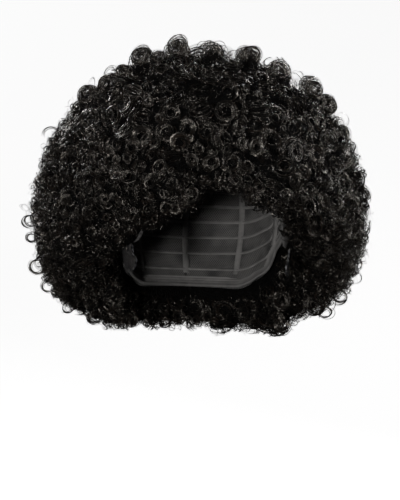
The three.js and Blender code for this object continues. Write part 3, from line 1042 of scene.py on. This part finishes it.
def ribbed_material(name, low, high, pitch, rib):
    """A woven tape: ribs along it and fine threads across it"""
    nodes = Nodes(name)
    place = nodes.add("ShaderNodeUVMap", uv_map="weave").outputs["UV"]
    parts = nodes.add("ShaderNodeSeparateXYZ", {"Vector": place})
    cross = nodes.wave(parts.outputs["X"], TAU / (pitch * MM))
    ribs = nodes.wave(parts.outputs["Y"], TAU / (rib * MM))
    height = nodes.math("ADD", cross, ribs)
    uneven = nodes.noise(nodes.add("ShaderNodeTexCoord").outputs["Object"], 90.0, 3.0)
    shade = nodes.math("ADD", nodes.math("MULTIPLY", height, 0.2), uneven)
    # Colour is an uneven tone plus the weave's height: painted shade darkens the grooves between ribs
    # and threads, and the crests are painted lighter
    return nodes.finish({
        "Base Color": nodes.ramp(shade, ((0.3, low), (0.8, high))),
        "Roughness": nodes.spread(uneven, 0.6, 0.8),
        "Normal": nodes.bump(height, 0.5, 0.0004),
        "Specular IOR Level": 0.4,
    })


NET_LOW, NET_HIGH = (0.004, 0.004, 0.004), (0.070, 0.067, 0.064)
TAPE_LOW, TAPE_HIGH = (0.050, 0.048, 0.046), (0.150, 0.144, 0.138)


def add_lining():
    azimuth = np.linspace(-math.pi, math.pi, NET_AROUND + 1)[:-1]
    turns, shares = np.meshgrid(azimuth, np.linspace(NET_FIRST, NET_LAST, NET_ROWS))
    places, _ = cap_points(turns, shares * upper_at(turns))
    for _ in range(2):
        places[1:-1] = (places[:-2] + 2 * places[1:-1] + places[2:]) / 4
        places = (np.roll(places, 1, axis=1) + 2 * places + np.roll(places, -1, axis=1)) / 4
    wrapped = np.concatenate((places, places[:, :1]), axis=1)
    steps = np.linalg.norm(np.diff(wrapped, axis=0), axis=-1)
    rows = np.concatenate((np.zeros((1, NET_AROUND + 1)), steps))
    down = np.cumsum(rows, axis=0).mean(axis=1, keepdims=True)
    around = np.linspace(0, NET_GIRTH, NET_AROUND + 1)[None, :]
    weave = np.stack(np.broadcast_arrays(around, down), axis=-1).reshape(-1, 2)
    quads = grid_quads(NET_ROWS, NET_AROUND + 1)
    mesh = new_mesh("cap_lining", wrapped.reshape(-1, 3), quads, None, {"weave": weave})
    knit = knit_material("cap_knit", NET_LOW, NET_HIGH, 2.0, 0.9)
    piece = new_piece("cap_lining", mesh, knit, ("cap_net",))
    wall = piece.modifiers.new("wall", "SOLIDIFY")
    wall.thickness = NET_THICKNESS
    wall.offset = -1


def tape_profile(tape):
    """A low dome, of two edges in the net, two shoulders and the middle"""
    half, shoulder = tape["half"], tape["half"] * tape["shoulder"]
    left = [(-half, -TAPE_SUNK), (-shoulder, tape["edge"])]
    right = [(shoulder, tape["edge"]), (half, -TAPE_SUNK)]
    return [*left, (0, tape["top"]), *right]


def add_wefts():
    """The wefts round the cap, and the tapes that run down it"""
    azimuth = np.linspace(-math.pi, math.pi, NET_AROUND + 1)[:-1]
    strips = []
    for weft in range(1, WEFTS + 1):
        row = np.full(len(azimuth), (weft - 0.25) / WEFTS)
        line, toward = cap_points(azimuth, row * upper_at(azimuth))
        strips.append(sweep(smoothed_loop(line, 3), toward, tape_profile(WEFT), True))
    column = np.linspace(0.06, 1.0, TAPE_STEPS)
    for degrees in TAPE_AZIMUTHS:
        turn = np.full(len(column), math.radians(degrees))
        line, toward = cap_points(turn, column * upper_at(turn))
        strips.append(sweep(line, toward, tape_profile(TAPE), False))
    co, faces, uv = joined_strips(strips)
    mesh = new_mesh("cap_wefts", co, faces, None, {"weave": uv})
    woven = ribbed_material("weft_tape", TAPE_LOW, TAPE_HIGH, 1.2, 1.0)
    new_piece("cap_wefts", mesh, woven, ("cap_net",))


def add_band():
    azimuth = np.linspace(-math.pi, math.pi, ELASTIC_AROUND + 1)[:-1]
    line, toward = cap_points(azimuth, (upper_at(azimuth) + lower_at(azimuth)) / 2)
    ribs = []
    for step in range(4 * ELASTIC_RIBS + 1):
        share = step / (4 * ELASTIC_RIBS) * 2 - 1
        rise = 1.1 + 0.3 * math.cos(share * ELASTIC_RIBS * math.pi)
        ribs.append((share * ELASTIC_HALF * 0.96, rise * MM))
    edge, back = ELASTIC_HALF, ELASTIC_HALF * 0.9
    rim = [(edge, -0.6 * MM), (back, -1.6 * MM), (-back, -1.6 * MM), (-edge, -0.6 * MM)]
    profile = [(-edge, -0.6 * MM), *ribs, *rim]
    co, faces, uv = sweep(smoothed_loop(line, 2), toward, profile, True)
    mesh = new_mesh("cap_elastic", co, faces, None, {"weave": uv})
    woven = ribbed_material("elastic", TAPE_LOW, TAPE_HIGH, 0.9, 30.0)
    new_piece("cap_elastic", mesh, woven, ("cap_band",))


# Sideburns: a thin patch with short straight hair laid down over it

TUFT_HAIRS = 700
TUFT_STEPS = 6
TUFT_SHORTEST, TUFT_LONGEST = 4.0, 8.0  # in mm
TUFT_WIDTH = 0.4 * MM
TUFT_START = 0.12  # how far out at the side the rays to the roots start, in metres
TUFT_SMOOTHEST = 0.2
TUFT_DARK = (0.004, 0.004, 0.005)
TUFT_MIDDLE = (0.014, 0.014, 0.015)
TUFT_LIGHT = (0.034, 0.034, 0.037)


def tuft_material(name):
    nodes = Nodes(name)
    place = nodes.add("ShaderNodeTexCoord").outputs["Object"]
    drawn = nodes.stretched(place, (1500, 1500, 90))
    hairs = nodes.noise(drawn, 1.0, 2.0)
    return nodes.finish({
        "Base Color": nodes.ramp(hairs, ((0.3, TUFT_DARK), (0.75, TUFT_LIGHT))),
        "Roughness": nodes.spread(hairs, 0.4, 0.6),
        "Normal": nodes.bump(hairs, 0.5, 0.0003),
        "Specular IOR Level": 0.4,
    })


def tuft_roots(node):
    """Random places on a sideburn's outer face, and the normals there"""
    tree = surface_tree((node,))
    low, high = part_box(node)
    side = 1 if low.x > 0 else -1
    roots, facing = [], []
    while len(roots) < TUFT_HAIRS:
        start = Vector((
            side * TUFT_START,
            rng.uniform(low.y, high.y),
            low.z + (high.z - low.z) * rng.random() ** 0.8,
        ))
        place, normal, _, _ = tree.ray_cast(start, Vector((-side, 0, 0)))
        if place is not None and normal.x * side > 0.2:
            roots.append(place)
            facing.append(normal)
    return np.array(roots), np.array(facing)


def tuft_ribbons(roots, facing):
    """Short straight hairs laid down from these roots, as ribbon arrays"""
    count = len(roots)
    down = np.array([[0, 0.12, -1.0]]) + rng.normal(0, 0.07, (count, 3))
    down = unit(down - (down * facing).sum(1, keepdims=True) * facing)
    reach = rng.uniform(TUFT_SHORTEST, TUFT_LONGEST, count) * MM
    t = np.linspace(0, 1, TUFT_STEPS)
    lift = (0.1 + 0.5 * np.sin(t * math.pi * 0.8)) * MM
    bend = np.cross(down, facing) * rng.normal(0, 0.5, count)[:, None] * MM
    place = (
        roots[:, None]
        + down[:, None] * (reach[:, None] * (t - 0.3))[..., None]
        + facing[:, None] * lift[None, :, None]
        + bend[:, None] * (t ** 2)[None, :, None]
    )
    tangent = unit(np.gradient(place, axis=1))
    across = unit(np.cross(facing[:, None], tangent))
    taper = np.sin(np.pi * (0.12 + 0.86 * t))[None, :]
    width = TUFT_WIDTH * rng.uniform(0.6, 1.3, count)[:, None] * taper
    half = (width / 2)[..., None] * across
    normal = np.cross(tangent, across)
    co = np.stack((place - half, place + half), axis=2)
    normals = np.stack((unit(normal - across), unit(normal + across)), axis=2)
    length = np.broadcast_to(t * 6 * MM, (count, TUFT_STEPS))
    return co, normals, length


def add_sideburn(node, patch_material, hair_material):
    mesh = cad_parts[node].data.copy()
    mesh.name = node + "_patch"
    mesh.materials.clear()
    mesh.shade_smooth()
    patch = new_piece(node + "_patch", mesh, patch_material, (node,))
    rounding = patch.modifiers.new("rounding", "SUBSURF")
    rounding.levels = rounding.render_levels = 2
    hairs = tuft_ribbons(*tuft_roots(node))
    piece = strand_piece(node + "_hairs", [hairs], hair_material, (node,))


add_camera()
add_lights()
add_backdrop()
set_world()
curls = choose_places()
curl_stands = stands_of(curls)
add_mass(curls, curl_stands)
add_curls(curls, curl_stands)
add_short_strands()
add_lining()
add_wefts()
add_band()
tuft_patch = tuft_material("tuft_patch")
tuft_strands = strand_material("tuft_strands", (TUFT_DARK, TUFT_MIDDLE, TUFT_LIGHT), TUFT_SMOOTHEST)
for tuft in ("sideburn_left", "sideburn_right"):
    add_sideburn(tuft, tuft_patch, tuft_strands)
